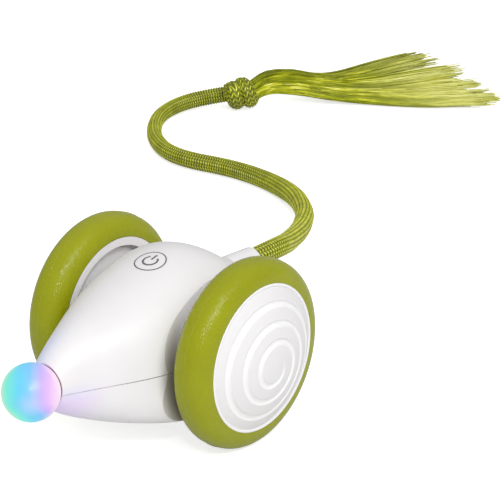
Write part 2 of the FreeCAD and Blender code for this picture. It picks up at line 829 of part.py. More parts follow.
def round_tube(points, radius, share=0.45):
    edges, radii = arc_run(points, share)
    path = Part.Wire(edges)
    section = Part.Wire(Part.makeCircle(radius, points[0], points[1] - points[0]))
    tube = path.makePipeShell([section], True, False)
    return Part.Solid(tube) if tube.ShapeType != "Solid" else tube, path, radii


def tail_cord():
    tube, path, radii = round_tube(cord_route, cord_radius)
    expected = math.pi * cord_radius ** 2 * path.Length
    print("cord length", round(path.Length, 1), "radii", radii)
    print("cord volume / section x length", round(tube.Volume / expected, 4))
    return tube


def tail_knot():
    return Part.makeSphere(knot_radius, knot_place)


def tassel_section(share):
    """One cross-section of the tassel: a flattened bundle that comes to rest on the floor."""
    x = share * tassel_reach
    wide = (tassel_root_width + (tassel_width - tassel_root_width) * share) / 2
    high = (tassel_root_height + (tassel_height - tassel_root_height) * share) / 2
    middle = high + (knot_radius - tassel_root_height / 2) * max(0.0, 1 - 2.5 * share)
    middle += tassel_rise * max(0.0, 1 - abs(share - 0.13) / 0.27)
    oval = Part.Ellipse(Vector(x, wide, middle), Vector(x, 0, middle + high),
                        Vector(x, 0, middle))
    return Part.Wire(oval.toShape())


def tail_tassel():
    fan = Part.makeLoft([tassel_section(share) for share in (0.0, 0.13, 0.4, 1.0)], True, True)
    fan.rotate(Vector(0, 0, 0), Vector(0, 0, 1), tassel_bearing)
    fan.translate(Vector(knot_place.x, knot_place.y, 0))
    rounded_end = upright(tassel_reach, knot_place.x, knot_place.y, 0, 2 * tassel_height)
    return fan.common(rounded_end).cut(tail_knot())


# Wires inside the body
def lead(points):
    tube, path, radii = round_tube([Vector(*point) for point in points], lead_radius, 0.4)
    return tube


def leads():
    board = board_height - lead_radius
    nose_end = nose_board_y + nose_board_thickness
    return [
        lead([(4, nose_end, 3), (4, nose_end + 8, 3), (5, -30, 10), (5, board_front + 3, board)]),
        lead([(-5, battery_front, -14), (-5, battery_front - 5, -14),
              (-9, battery_front - 8, -4), (-8, board_front - 2, 8), (-5, board_front + 4, board)]),
    ]


def build():
    outer, inner = body_solid(0), body_solid(shell_wall)
    axle_hole = along_x(axle_radius + bush_wall + running, -track, track, 0, 0)
    seams = open_seams(outer)
    upper, lower = upper_shell(outer, inner, seams), lower_shell(outer, inner, seams)
    pieces = {
        "upper_shell": upper.cut(axle_hole),
        "lower_shell": lower.cut(axle_hole),
        "nose_dome": nose_dome(),
        "nose_board": nose_board(),
        "nose_led": nose_led(),
        "main_board": main_board(),
        "board_chips": board_chips(),
        "board_screws": board_screws(),
        "touch_pad": touch_pad(inner),
        "battery": battery(),
        "port_board": port_board(),
        "charge_port": charge_port(),
        "shell_screws": shell_screws(),
        "inner_leads": leads(),
        "tail_sleeve": tail_sleeve(),
    }
    turned_pieces = {"gearbox": gearbox(), "gearbox_cover": gearbox_cover(), "motor": motor(),
                     "pinion": pinion(), "gear_one": gear_one(), "gear_two": gear_two(),
                     "output_gear": output_gear()}
    wheel_pieces = {"tyre": tyre(), "hub": hub(), "hub_cap": hub_cap(), "axle": axle(),
                    "axle_screw": axle_screw(), "bush": bush()}
    for name, shape in turned_pieces.items():
        pieces["left_" + name] = shape
        pieces["right_" + name] = other_side(shape)
    for name, shape in wheel_pieces.items():
        pieces["left_" + name] = shape
        pieces["right_" + name] = mirrored(shape)
    screws, pins = gearbox_screws(), gear_pins()
    pieces["gearbox_screws"] = screws + [other_side(one) for one in screws]
    pieces["gear_pins"] = pins + [other_side(pin) for pin in pins]
    cord = tail_cord()
    on_floor = {"tail_cord": cord, "tail_knot": tail_knot().cut(cord), "tail_tassel": tail_tassel()}
    return pieces, on_floor


def write(name, shape, shift):
    solids = shape if isinstance(shape, list) else [shape]
    moved = []
    for solid in solids:
        copy = solid.copy()
        copy.translate(shift)
        moved += copy.Solids
    whole = moved[0] if len(moved) == 1 else Part.makeCompound(moved)
    whole.exportStep("parts/" + name + ".step")


os.makedirs("parts", exist_ok=True)
assembled, laid = build()
for name, shape in assembled.items():
    write(name, shape, Vector(0, axle_y, wheel_radius))
for name, shape in laid.items():
    write(name, shape, Vector(0, 0, 0))
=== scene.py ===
"""Battery mouse toy for cats: two soft-tyred wheels, a white body, a lit nose and a braided tail."""

import math
import random

import bpy
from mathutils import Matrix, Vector


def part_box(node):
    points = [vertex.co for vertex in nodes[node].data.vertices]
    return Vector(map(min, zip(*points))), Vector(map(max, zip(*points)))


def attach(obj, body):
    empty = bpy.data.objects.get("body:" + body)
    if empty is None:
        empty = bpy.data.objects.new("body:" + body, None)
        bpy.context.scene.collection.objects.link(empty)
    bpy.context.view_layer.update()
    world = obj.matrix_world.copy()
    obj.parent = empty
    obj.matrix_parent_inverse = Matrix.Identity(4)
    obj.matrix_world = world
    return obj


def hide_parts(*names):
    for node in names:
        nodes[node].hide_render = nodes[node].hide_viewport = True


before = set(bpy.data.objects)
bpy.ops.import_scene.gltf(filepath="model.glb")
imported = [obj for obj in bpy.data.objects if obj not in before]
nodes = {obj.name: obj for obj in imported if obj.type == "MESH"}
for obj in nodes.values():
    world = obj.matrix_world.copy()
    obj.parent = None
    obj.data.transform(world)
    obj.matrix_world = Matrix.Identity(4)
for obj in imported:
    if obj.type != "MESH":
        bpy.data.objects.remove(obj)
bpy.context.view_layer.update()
MM = 0.001


# Body shells: two thin teardrop halves in white ABS, moulded with a fine satin texture and closed
# by three screws from below. Near the lamp a blue and pink glow is painted into the base colour and a
# faint emission, beside the wheels a painted shade darkens it, and a painted dark red ring lines the
# gap round the lamp.
def linear(code):
    """An sRGB hex colour as linear light."""
    values = [int(code[i:i + 2], 16) / 255 for i in (1, 3, 5)]
    return [v / 12.92 if v <= 0.04045 else ((v + 0.055) / 1.055) ** 2.4 for v in values] + [1]


def connect(material, node, sockets):
    """Gives a node's sockets a value or hex colour each, or a link from another node's output."""
    for name, value in sockets.items():
        if isinstance(name, int):
            socket = node.inputs[name]
        else:
            socket = next(s for s in node.inputs if s.name == name and s.enabled)
        if isinstance(value, bpy.types.NodeSocket):
            material.node_tree.links.new(value, socket)
        else:
            socket.default_value = linear(value) if isinstance(value, str) else value


def add(material, kind, sockets, **settings):
    """Adds one node with its settings, values and links, and gives its first output in use."""
    node = material.node_tree.nodes.new("ShaderNode" + kind)
    for name, value in settings.items():
        setattr(node, name, value)
    connect(material, node, sockets)
    return next(s for s in node.outputs if s.enabled)


def new_material(name):
    """An empty finish: the material, its shader and the place on the toy in metres."""
    material = bpy.data.materials.new(name)
    material.use_nodes = True
    shader = material.node_tree.nodes["Principled BSDF"]
    place = add(material, "TexCoord", {}).node.outputs["Object"]
    return material, shader, place


def per_metre(millimetres):
    """Noise scale for marks of this size."""
    return 1000 / millimetres


def dress(material, *names):
    """The finish goes on these CAD parts."""
    for name in names:
        for place in nodes[name].material_slots:
            place.material = material


hub_low, hub_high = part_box("left_hub")
axle = Vector((0, (hub_low.y + hub_high.y) / 2, (hub_low.z + hub_high.z) / 2))
nose_low, nose_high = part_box("nose_dome")
nose_radius = (nose_high.x - nose_low.x) / 2
nose_centre = Vector((0, nose_low.y + nose_radius, (nose_low.z + nose_high.z) / 2))

satin_abs, shader, place = new_material("white_satin_moulded_abs")
cloud = add(satin_abs, "TexNoise", {"Vector": place, "Scale": per_metre(16)})
white = add(satin_abs, "Mix", {"Factor": cloud, "A": "#edebec", "B": "#e3e1e2"}, data_type="RGBA")
# Painted light: the lamp's glow, blue above and pink below the nose, goes into the base colour and the
# emission.
spot = add(satin_abs, "VectorMath", {0: place, 1: nose_centre}, operation="SUBTRACT")
away = add(satin_abs, "VectorMath", {0: spot}, operation="LENGTH")
lean = add(satin_abs, "VectorMath", {0: spot, 1: (-0.73, -0.22, 0.65)}, operation="DOT_PRODUCT")
above = add(satin_abs, "MapRange", {"Value": lean, "From Min": 2 * MM, "From Max": 9 * MM, "To Max": 0.6},
            interpolation_type="SMOOTHSTEP")
drop = add(satin_abs, "VectorMath", {0: spot, 1: (0, 0.1, -0.99)}, operation="DOT_PRODUCT")
below = add(satin_abs, "MapRange", {"Value": drop, "From Min": -1 * MM, "From Max": 6 * MM, "To Max": 0.6},
            interpolation_type="SMOOTHSTEP")
painted_lamp_hue = add(satin_abs, "Mix", {"Factor": below, "A": "#bccdff", "B": "#f2bdf3"}, data_type="RGBA")
near = add(satin_abs, "MapRange", {"Value": away, "From Min": 10 * MM, "From Max": 27 * MM,
                                   "To Min": 1, "To Max": 0}, interpolation_type="SMOOTHSTEP")
strong = add(satin_abs, "Math", {0: above, 1: below}, operation="MAXIMUM")
painted_lamp_glow = add(satin_abs, "Math", {0: near, 1: strong}, operation="MULTIPLY")
lit = add(satin_abs, "Mix", {"Factor": painted_lamp_glow, "A": white, "B": painted_lamp_hue}, data_type="RGBA")
# Painted shade and light: the thin ring of shell just round the lamp is painted dark red, for the shaded
# gap lit red by the lamp.
seat = add(satin_abs, "MapRange", {"Value": away, "From Min": nose_radius + 0.15 * MM,
                                   "From Max": nose_radius + 0.5 * MM, "To Min": 1, "To Max": 0})
# Painted shade: on the flanks, where the occlusion node finds the wheels close, the base colour goes to a
# dark brown grey.
closed_in = add(satin_abs, "AmbientOcclusion", {"Distance": 6 * MM}, samples=8).node.outputs["AO"]
sideways = add(satin_abs, "SeparateXYZ", {"Vector": place})
outward = add(satin_abs, "Math", {0: sideways}, operation="ABSOLUTE")
flank = add(satin_abs, "MapRange", {"Value": outward, "From Min": 13 * MM, "From Max": 17 * MM,
                                    "To Max": 0.9})
shut = add(satin_abs, "MapRange", {"Value": closed_in, "From Min": 0.35, "From Max": 0.85,
                                   "To Min": 1, "To Max": 0})
painted_gap_shade = add(satin_abs, "Math", {0: flank, 1: shut}, operation="MULTIPLY")
shaded = add(satin_abs, "Mix", {"Factor": painted_gap_shade, "A": lit, "B": "#7c746b"}, data_type="RGBA")
grain = add(satin_abs, "TexNoise", {"Vector": place, "Scale": per_metre(0.45)})
connect(satin_abs, shader, {
    "Base Color": add(satin_abs, "Mix", {"Factor": seat, "A": shaded, "B": "#7a2c46"}, data_type="RGBA"),
    "Roughness": add(satin_abs, "MapRange", {"Value": cloud, "To Min": 0.32, "To Max": 0.48}),
    "IOR": 1.53,
    "Emission Color": add(satin_abs, "Mix", {"Factor": painted_lamp_glow, "A": "#000000", "B": painted_lamp_hue}, data_type="RGBA"),
    "Emission Strength": 0.08,
    "Normal": add(satin_abs, "Bump", {"Height": grain, "Distance": 0.01 * MM, "Strength": 0.35})})
dress(satin_abs, "upper_shell", "lower_shell", "tail_sleeve")

# Touch mark: a grey ring and a standby sign, pad-printed on the back over the touch pad. The ink
# lies on the slope of the shell, a few hundredths of a millimetre thick.
mark_middle = axle + Vector((0.3, -10.2, 25.8)) * MM
ink_height = 0.05 * MM


def grid_mesh(name, rows, closed_rows=False, closed_columns=False):
    """A mesh of quads from rows of points, with smooth shading."""
    wide = len(rows[0])
    last_row, last_column = len(rows) - (not closed_columns), wide - (not closed_rows)
    faces = [(r * wide + c, r * wide + (c + 1) % wide, (r + 1) % len(rows) * wide + (c + 1) % wide,
              (r + 1) % len(rows) * wide + c) for r in range(last_row) for c in range(last_column)]
    mesh = bpy.data.meshes.new(name)
    mesh.from_pydata([p for row in rows for p in row], [], faces)
    mesh.shade_smooth()
    return mesh


def add_piece(mesh, body, material, slot, *replaced):
    """Links a mesh as a piece that rides on a body and stands for CAD parts."""
    piece = bpy.data.objects.new(mesh.name, mesh)
    bpy.context.scene.collection.objects.link(piece)
    mesh.materials.append(material)
    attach(piece, body)
    if replaced:
        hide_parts(*replaced)
    return piece


def on_back(across, along):
    """The point of the upper shell under a place of the print, and just above it."""
    start = mark_middle + Vector((across, along, 20)) * MM
    _, where, facing, _ = nodes["upper_shell"].ray_cast(start, Vector((0, 0, -1)))
    return where + facing * ink_height


def inked_band(inner, outer, first, last, steps):
    """Rows of an arc band, in degrees from the tail side, turning to the left."""
    return [[on_back(-r * math.sin(a), r * math.cos(a)) for r in (inner, (inner + outer) / 2, outer)]
            for a in (math.radians(first + (last - first) * i / steps) for i in range(steps + 1))]


ink, shader, place = new_material("grey_pad_print_ink")
speck = add(ink, "TexNoise", {"Vector": place, "Scale": per_metre(0.5)})
connect(ink, shader, {
    "Base Color": add(ink, "Mix", {"Factor": speck, "A": "#58575b", "B": "#727175"}, data_type="RGBA"),
    "Roughness": add(ink, "MapRange", {"Value": speck, "To Min": 0.4, "To Max": 0.65}), "IOR": 1.5,
    "Normal": add(ink, "Bump", {"Height": speck, "Distance": 0.01 * MM, "Strength": 0.3})})
ring = inked_band(4.62, 5.04, 0, 360, 96)[:-1]
add_piece(grid_mesh("touch_ring", ring, closed_columns=True), "body", ink, "grey_plastic")
add_piece(grid_mesh("touch_sign_arc", inked_band(1.95, 2.6, 38, 322, 60)), "body", ink, "grey_plastic")
bar = [[on_back(x, y / 4) for x in (-0.33, 0, 0.33)] for y in range(2, 14)]
add_piece(grid_mesh("touch_sign_bar", bar[::-1]), "body", ink, "grey_plastic")

# Nose lamp: a ball of milky polycarbonate over a colour-changing LED. The light mixes inside the
# ball: aqua on one side, sky blue above, lilac and pink on the other, paler where the wall is thick.
# The colours and the pale rim are placed by the photograph's right, its up and the way to its camera,
# written here as fixed directions of the toy.
photo_right = Vector((0.778, 0.628, 0))
photo_up = Vector((-0.2415, 0.299, 0.923))
photo_towards = Vector((0.580, -0.718, 0.3845))
milky, shader, place = new_material("milky_polycarbonate_lit_from_inside")
spot = add(milky, "VectorMath", {0: place, 1: nose_centre}, operation="SUBTRACT")
across = add(milky, "VectorMath", {0: spot, 1: photo_right}, operation="DOT_PRODUCT")
upward = add(milky, "VectorMath", {0: spot, 1: photo_up}, operation="DOT_PRODUCT")
step = add(milky, "MapRange", {"Value": across, "From Min": -nose_radius, "From Max": nose_radius})
bend = add(milky, "MapRange", {"Value": upward, "From Min": -0.95 * nose_radius,
                               "From Max": -0.3 * nose_radius, "To Min": 0.24, "To Max": 0},
           interpolation_type="SMOOTHSTEP")
band = add(milky, "ValToRGB", {"Fac": add(milky, "Math", {0: step, 1: bend}, operation="SUBTRACT")})
ramp = band.node.color_ramp
ramp.elements[0].color = linear("#b4f2cc")
ramp.elements[1].color = linear("#fbe4fa")
for at, code in ((0.12, "#7cf3de"), (0.33, "#68d6f6"), (0.5, "#7cc8fa"), (0.6, "#a9c2fc"),
                 (0.7, "#c8b4fb"), (0.82, "#e8bcff"), (0.92, "#f8d6fb")):
    ramp.elements.new(at).color = linear(code)
thick = nose_centre + (photo_right * 0.05 - photo_up * 0.4 + photo_towards * 0.915) * nose_radius
from_thick = add(milky, "VectorMath", {0: place, 1: thick}, operation="DISTANCE")
pale = add(milky, "MapRange", {"Value": from_thick, "From Max": 0.62 * nose_radius,
                               "To Min": 0.45, "To Max": 0},
           interpolation_type="SMOOTHSTEP")
middle = add(milky, "Mix", {"Factor": pale, "A": band, "B": "#cfdcff"}, data_type="RGBA")
# Painted rim light: a pale rim is painted along the ball's outline as seen from the camera, in the base
# colour and the emission.
turned = add(milky, "VectorMath", {0: spot, 1: photo_towards}, operation="CROSS_PRODUCT")
rim = add(milky, "MapRange", {"Value": add(milky, "VectorMath", {0: turned}, operation="LENGTH"),
                              "From Min": 0.84 * nose_radius, "From Max": nose_radius, "To Max": 0.7},
          interpolation_type="SMOOTHSTEP")
outward = add(milky, "MapRange", {"Value": add(milky, "Math", {0: across}, operation="ABSOLUTE"),
                                  "From Min": 0.3 * nose_radius, "From Max": 0.85 * nose_radius})
painted_rim_light = add(milky, "Math", {0: rim, 1: outward}, operation="MULTIPLY")
edge = add(milky, "Mix", {"Factor": step, "A": "#b9f0c0", "B": "#ffe2f6"}, data_type="RGBA")
colour = add(milky, "Mix", {"Factor": painted_rim_light, "A": middle, "B": edge}, data_type="RGBA")
haze = add(milky, "TexNoise", {"Vector": place, "Scale": per_metre(0.6)})
connect(milky, shader, {
    "Base Color": add(milky, "HueSaturation", {"Color": colour, "Value": 0.5}),
    "Roughness": add(milky, "MapRange", {"Value": haze, "To Min": 0.28, "To Max": 0.42}),
    "IOR": 1.58, "Emission Color": colour, "Emission Strength": 0.5,
    "Normal": add(milky, "Bump", {"Height": haze, "Distance": 0.003 * MM, "Strength": 0.15})})
dress(milky, "nose_dome")

# Tyres: silicone rubber in olive green, slipped over the hub. The mould was blasted, which leaves
# a fine grain, and its halves met at a faint round bead. Each pit of the mould left a tiny facet that
# leans its own way, so single ones flash where light strikes the tread.
tyre_half_width = 6.55
tyre_radius = 29.9
crown_depth = 8.1
crown_power = 2.5
rim_radius = 23.4
seat_radius = 22.0
seat_half_width = 5.3
bead_height = 0.14
bead_width = 0.17


def tyre_mesh(name, middle):
    """The rounded tread, its bead and the seat inside, turned about the axle."""
    steps, around = 80, 288
    first = math.asin(((rim_radius - tyre_radius + crown_depth) / crown_depth) ** (crown_power / 2))
    profile, bead_end = [], 0.8
    for i in range(steps + 1):
        angle = first + (math.pi - 2 * first) * i / steps
        across = tyre_half_width * math.copysign(abs(math.cos(angle)) ** (2 / crown_power), math.cos(angle))
        out = tyre_radius - crown_depth + crown_depth * math.sin(angle) ** (2 / crown_power)
        if across * bead_end > 0 and abs(across) < abs(bead_end):
            for k in range(8, -9, -1):
                spot = bead_end * k / 8
                profile.append((spot, tyre_radius + bead_height * math.exp(-(spot / bead_width) ** 2)))
            bead_end = 0
        elif abs(across) > 0.8:
            profile.append((across, out))
    profile += [(-seat_half_width, rim_radius), (-seat_half_width, seat_radius),
                (seat_half_width, seat_radius), (seat_half_width, rim_radius)]
    rows = [[Vector((middle, axle.y, axle.z)) + Vector((x, r * math.cos(a), r * math.sin(a))) * MM
             for a in (2 * math.pi * i / around for i in range(around))] for x, r in profile]
    return grid_mesh(name, rows, closed_rows=True, closed_columns=True)


silicone, shader, place = new_material("olive_silicone_rubber_blasted_mould")
patch = add(silicone, "TexNoise", {"Vector": place, "Scale": per_metre(11)})
grit = add(silicone, "TexNoise", {"Vector": place, "Scale": per_metre(0.5), "Detail": 1})
pits = add(silicone, "TexVoronoi", {"Vector": place, "Scale": per_metre(0.3)}).node.outputs["Color"]
tilt = add(silicone, "VectorMath", {0: pits, 1: (0.5, 0.5, 0.5)}, operation="SUBTRACT")
tilt = add(silicone, "VectorMath", {0: tilt, "Scale": 0.3}, operation="SCALE")
facing = add(silicone, "NewGeometry", {}).node.outputs["Normal"]
tilted = add(silicone, "VectorMath", {0: facing, 1: tilt}, operation="ADD")
facet = add(silicone, "VectorMath", {0: tilted}, operation="NORMALIZE")
connect(silicone, shader, {
    "Base Color": add(silicone, "Mix", {"Factor": patch, "A": "#9ba00a", "B": "#8f9406"}, data_type="RGBA"),
    "Roughness": add(silicone, "MapRange", {"Value": grit, "To Min": 0.14, "To Max": 0.26}),
    "IOR": 1.43, "Specular IOR Level": 0.38,
    "Normal": add(silicone, "Bump", {"Height": grit, "Distance": 0.04 * MM, "Normal": facet})})
for word in ("left", "right"):
    low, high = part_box(word + "_tyre")
    add_piece(tyre_mesh(word + "_soft_tyre", (low.x + high.x) / 2), word + "_wheel", silicone,
              "green_tread", word + "_tyre")

# Hubs: white ABS drums with a web, glossy where the mould was polished.
gloss_abs, shader, place = new_material("white_polished_moulded_abs")
ripple = add(gloss_abs, "TexNoise", {"Vector": place, "Scale": per_metre(9)})
swell = add(gloss_abs, "TexNoise", {"Vector": place, "Scale": per_metre(0.5)})
connect(gloss_abs, shader, {
    "Base Color": add(gloss_abs, "Mix", {"Factor": ripple, "A": "#f6f4f4", "B": "#eeecee"},
                      data_type="RGBA"),
    "Roughness": add(gloss_abs, "MapRange", {"Value": ripple, "To Min": 0.24, "To Max": 0.4}),
    "IOR": 1.53,
    "Normal": add(gloss_abs, "Bump", {"Height": swell, "Distance": 0.008 * MM, "Strength": 0.3})})
dress(gloss_abs, "left_hub", "right_hub")

# Hub caps: one moulded dome each, with a round-bottomed groove that winds out from a fine point
# near the middle to the rim, and a thin raised lip. They snap into the drum.
cap_edge = 22.5
cap_face = 35.8
cap_rise = 6.5
dome_radius = (cap_edge ** 2 + cap_rise ** 2) / (2 * cap_rise)
dome_centre = cap_face + cap_rise - dome_radius
groove_half_width = 1.0
groove_depth = 0.7
groove_pitch = 5.4
groove_start = 3.3
groove_middle = (-1.5, -1.1)
groove_first_angle = math.radians(40)


def groove_sink(y, z):
    """How deep the spiral groove is at a place of the dome, in millimetres."""
    dy, dz = y - groove_middle[0], z - groove_middle[1]
    reach = math.hypot(dy, dz)
    turned = (groove_first_angle - math.atan2(dz, dy)) % (2 * math.pi)
    turn = round((reach - groove_start) / groove_pitch - turned / (2 * math.pi))
    angle = turned + 2 * math.pi * max(0, turn)
    off = abs(reach - groove_start - groove_pitch * angle / (2 * math.pi))
    grown = min(1, angle / 2.4)
    half = groove_half_width * (0.3 + 0.7 * grown)
    return groove_depth * grown * max(0, 1 - (off / half) ** 2) ** 0.55


def cap_mesh(name, side):
    """The cap as rings of points about the axle, from the crown out over the lip and back inside."""
    rings, around = 150, 288
    angles = [2 * math.pi * i / around for i in range(around)]
    rows, sunk = [], []
    for ring in range(1, rings + 1):
        radius = cap_edge * ring / rings
        dome = dome_centre + math.sqrt(dome_radius ** 2 - radius ** 2)
        row = []
        for a in angles:
            y, z = radius * math.cos(a), radius * math.sin(a)
            fade = min(1, (cap_edge - radius) / 0.5)
            row.append((dome - groove_sink(y, z) * fade, y, z))
        rows.append(row)
        sunk += [min(1, (dome - x) / 0.45) for x, _, _ in row]
    lip = [(22.52, 0.14), (22.6, 0.22), (22.72, 0.25), (23.1, 0.25), (23.28, 0.2), (23.4, 0.05),
           (23.4, -1.15), (20.6, -1.15), (20.55, -4.75), (19.6, -4.75), (19.6, 0.4), (12, 3.4), (1, 5.0)]
    rows += [[(cap_face + x, r * math.cos(a), r * math.sin(a)) for a in angles] for r, x in lip]
    rows = [[axle + Vector((side * x, y, z)) * MM for x, y, z in row] for row in rows]
    if side > 0:
        rows = [row[::-1] for row in rows]
        sunk = [v for i in range(rings) for v in sunk[i * around:(i + 1) * around][::-1]]
    mesh = grid_mesh(name, rows, closed_rows=True)
    values = sunk + [0.8] * len(lip) * around
    mesh.attributes.new("groove", "FLOAT", "POINT").data.foreach_set("value", values)
    return mesh


cap_abs, shader, place = new_material("white_abs_matt_lands_polished_groove_painted_highlight")
groove = add(cap_abs, "Attribute", {}, attribute_name="groove").node.outputs["Fac"]
erosion = add(cap_abs, "TexNoise", {"Vector": place, "Scale": per_metre(0.35)})
land = add(cap_abs, "Mix", {"Factor": erosion, "A": "#eceaeb", "B": "#e5e3e4"}, data_type="RGBA")
# Painted highlight: the groove and the lip are painted lighter than the lands, for their lit walls; the
# lower roughness in the groove is its polish.
connect(cap_abs, shader, {
    "Base Color": add(cap_abs, "Mix", {"Factor": groove, "A": land, "B": "#f6f5f5"}, data_type="RGBA"),
    "Roughness": add(cap_abs, "MapRange", {"Value": groove, "To Min": 0.42, "To Max": 0.24}), "IOR": 1.53,
    "Normal": add(cap_abs, "Bump", {"Height": erosion, "Distance": 0.012 * MM, "Strength": 0.4})})


for side, word in ((1, "left"), (-1, "right")):
    add_piece(cap_mesh(word + "_spiral_cap", side), word + "_wheel", cap_abs, "white_plastic",
              word + "_hub_cap")

# Works inside the body: green glass-fibre circuit boards, black moulded chips, plated screws and
# pins, brass and acetal gears, steel motor cans, the wrapped cell and its sleeved leads.
board_green, shader, place = new_material("green_solder_mask_on_glass_fibre")
weave = add(board_green, "TexWave", {"Vector": place, "Scale": per_metre(1.2), "Distortion": 1.0})
weave = weave.node.outputs["Fac"]
connect(board_green, shader, {
    "Base Color": add(board_green, "Mix", {"Factor": weave, "A": "#1f6b3a", "B": "#2a7d47"},
                      data_type="RGBA"),
    "Roughness": add(board_green, "MapRange", {"Value": weave, "To Min": 0.3, "To Max": 0.42}), "IOR": 1.5,
    "Normal": add(board_green, "Bump", {"Height": weave, "Distance": 0.02 * MM, "Strength": 0.4})})
dress(board_green, "main_board", "nose_board", "port_board")

chip_black, shader, place = new_material("black_epoxy_moulded_chip")
speckle = add(chip_black, "TexNoise", {"Vector": place, "Scale": per_metre(0.3)})
connect(chip_black, shader, {
    "Base Color": add(chip_black, "Mix", {"Factor": speckle, "A": "#151517", "B": "#303034"},
                      data_type="RGBA"),
    "Roughness": add(chip_black, "MapRange", {"Value": speckle, "To Min": 0.45, "To Max": 0.7}),
    "IOR": 1.55,
    "Normal": add(chip_black, "Bump", {"Height": speckle, "Distance": 0.01 * MM, "Strength": 0.4})})
dress(chip_black, "board_chips")

plated_steel, shader, place = new_material("zinc_plated_turned_steel")
streak = add(plated_steel, "TexNoise", {"Vector": place, "Scale": per_metre(0.8)})
connect(plated_steel, shader, {
    "Base Color": add(plated_steel, "Mix", {"Factor": streak, "A": "#c2c5c9", "B": "#9c9fa5"},
                      data_type="RGBA"),
    "Metallic": 1.0,
    "Roughness": add(plated_steel, "MapRange", {"Value": streak, "To Min": 0.15, "To Max": 0.45}),
    "Normal": add(plated_steel, "Bump", {"Height": streak, "Distance": 0.01 * MM, "Strength": 0.3})})
dress(plated_steel, "board_screws", "gearbox_screws", "gear_pins", "shell_screws", "left_axle",
      "right_axle", "left_axle_screw", "right_axle_screw", "charge_port", "left_motor", "right_motor")

brass, shader, place = new_material("cut_brass")
cut = add(brass, "TexNoise", {"Vector": place, "Scale": per_metre(0.4)})
connect(brass, shader, {
    "Base Color": add(brass, "Mix", {"Factor": cut, "A": "#d0a84f", "B": "#ad8436"}, data_type="RGBA"),
    "Metallic": 1.0, "Roughness": add(brass, "MapRange", {"Value": cut, "To Min": 0.2, "To Max": 0.45}),
    "Normal": add(brass, "Bump", {"Height": cut, "Distance": 0.01 * MM, "Strength": 0.3})})
dress(brass, "left_pinion", "right_pinion")

acetal, shader, place = new_material("natural_acetal_moulded_gear")
flow = add(acetal, "TexNoise", {"Vector": place, "Scale": per_metre(2.5)})
connect(acetal, shader, {
    "Base Color": add(acetal, "Mix", {"Factor": flow, "A": "#ece9df", "B": "#d9d5c8"}, data_type="RGBA"),
    "Roughness": add(acetal, "MapRange", {"Value": flow, "To Min": 0.3, "To Max": 0.55}), "IOR": 1.48,
    "Normal": add(acetal, "Bump", {"Height": flow, "Distance": 0.01 * MM, "Strength": 0.3})})
dress(acetal, "left_gear_one", "right_gear_one", "left_gear_two", "right_gear_two",
      "left_output_gear", "right_output_gear", "left_bush", "right_bush")

grey_abs, shader, place = new_material("grey_moulded_abs")
mottle = add(grey_abs, "TexNoise", {"Vector": place, "Scale": per_metre(3)})
connect(grey_abs, shader, {
    "Base Color": add(grey_abs, "Mix", {"Factor": mottle, "A": "#929498", "B": "#7f8186"},
                      data_type="RGBA"),
    "Roughness": add(grey_abs, "MapRange", {"Value": mottle, "To Min": 0.4, "To Max": 0.6}), "IOR": 1.53,
    "Normal": add(grey_abs, "Bump", {"Height": mottle, "Distance": 0.02 * MM, "Strength": 0.3})})
dress(grey_abs, "left_gearbox", "right_gearbox", "left_gearbox_cover", "right_gearbox_cover", "touch_pad")

wrap, shader, place = new_material("blue_shrink_wrap")
wrinkle = add(wrap, "TexNoise", {"Vector": place, "Scale": per_metre(4)})
connect(wrap, shader, {
    "Base Color": add(wrap, "Mix", {"Factor": wrinkle, "A": "#3267c0", "B": "#2854a0"}, data_type="RGBA"),
    "Roughness": add(wrap, "MapRange", {"Value": wrinkle, "To Min": 0.2, "To Max": 0.45}), "IOR": 1.54,
    "Normal": add(wrap, "Bump", {"Height": wrinkle, "Distance": 0.1 * MM, "Strength": 0.4})})
dress(wrap, "battery")

lead_cover, shader, place = new_material("red_pvc_lead_cover")
draw = add(lead_cover, "TexNoise", {"Vector": place, "Scale": per_metre(1.5)})
connect(lead_cover, shader, {
    "Base Color": add(lead_cover, "Mix", {"Factor": draw, "A": "#b63333", "B": "#962525"},
                      data_type="RGBA"),
    "Roughness": add(lead_cover, "MapRange", {"Value": draw, "To Min": 0.3, "To Max": 0.55}), "IOR": 1.53,
    "Normal": add(lead_cover, "Bump", {"Height": draw, "Distance": 0.02 * MM, "Strength": 0.3})})
dress(lead_cover, "inner_leads")

lamp_lens, shader, place = new_material("clear_epoxy_lamp")
veil = add(lamp_lens, "TexNoise", {"Vector": place, "Scale": per_metre(1)})
connect(lamp_lens, shader, {
    "Base Color": add(lamp_lens, "Mix", {"Factor": veil, "A": "#f4f7ff", "B": "#e6ecff"}, data_type="RGBA"),
    "Roughness": add(lamp_lens, "MapRange", {"Value": veil, "To Min": 0.05, "To Max": 0.2}), "IOR": 1.55,
    "Emission Color": "#dfe9ff", "Emission Strength": 0.6,
    "Normal": add(lamp_lens, "Bump", {"Height": veil, "Distance": 0.01 * MM, "Strength": 0.2})})
dress(lamp_lens, "nose_led")

# Tail cord: a soft tubular braid of polyester yarn, 7 mm thick. Its floats line up in columns
# that lean left and right by turns, each a row of short slanted stitches along the cord.
cord_radius = 3.5
tail_route = [(0, 34, 40), (0, 52.4, 40), (-9.4, 68.1, 33.6), (-16.3, 79.3, 29.4), (-27.6, 97.9, 22.9),
              (-40.5, 118, 16.5), (-57.9, 142.5, 9.8), (-83.7, 167.3, 3.8), (-113.2, 173.5, 3.8),
              (-141.7, 167.5, 3.8), (-161.2, 176.9, 3.6), (-177, 195.6, 3.5), (-182.5, 212.6, 3.5),
              (-178.6, 227.1, 4.5), (-169, 237, 6)]
stitch_depth = 0.6
cord_columns = 16
cord_twist = 3
cord_slant = 0.4


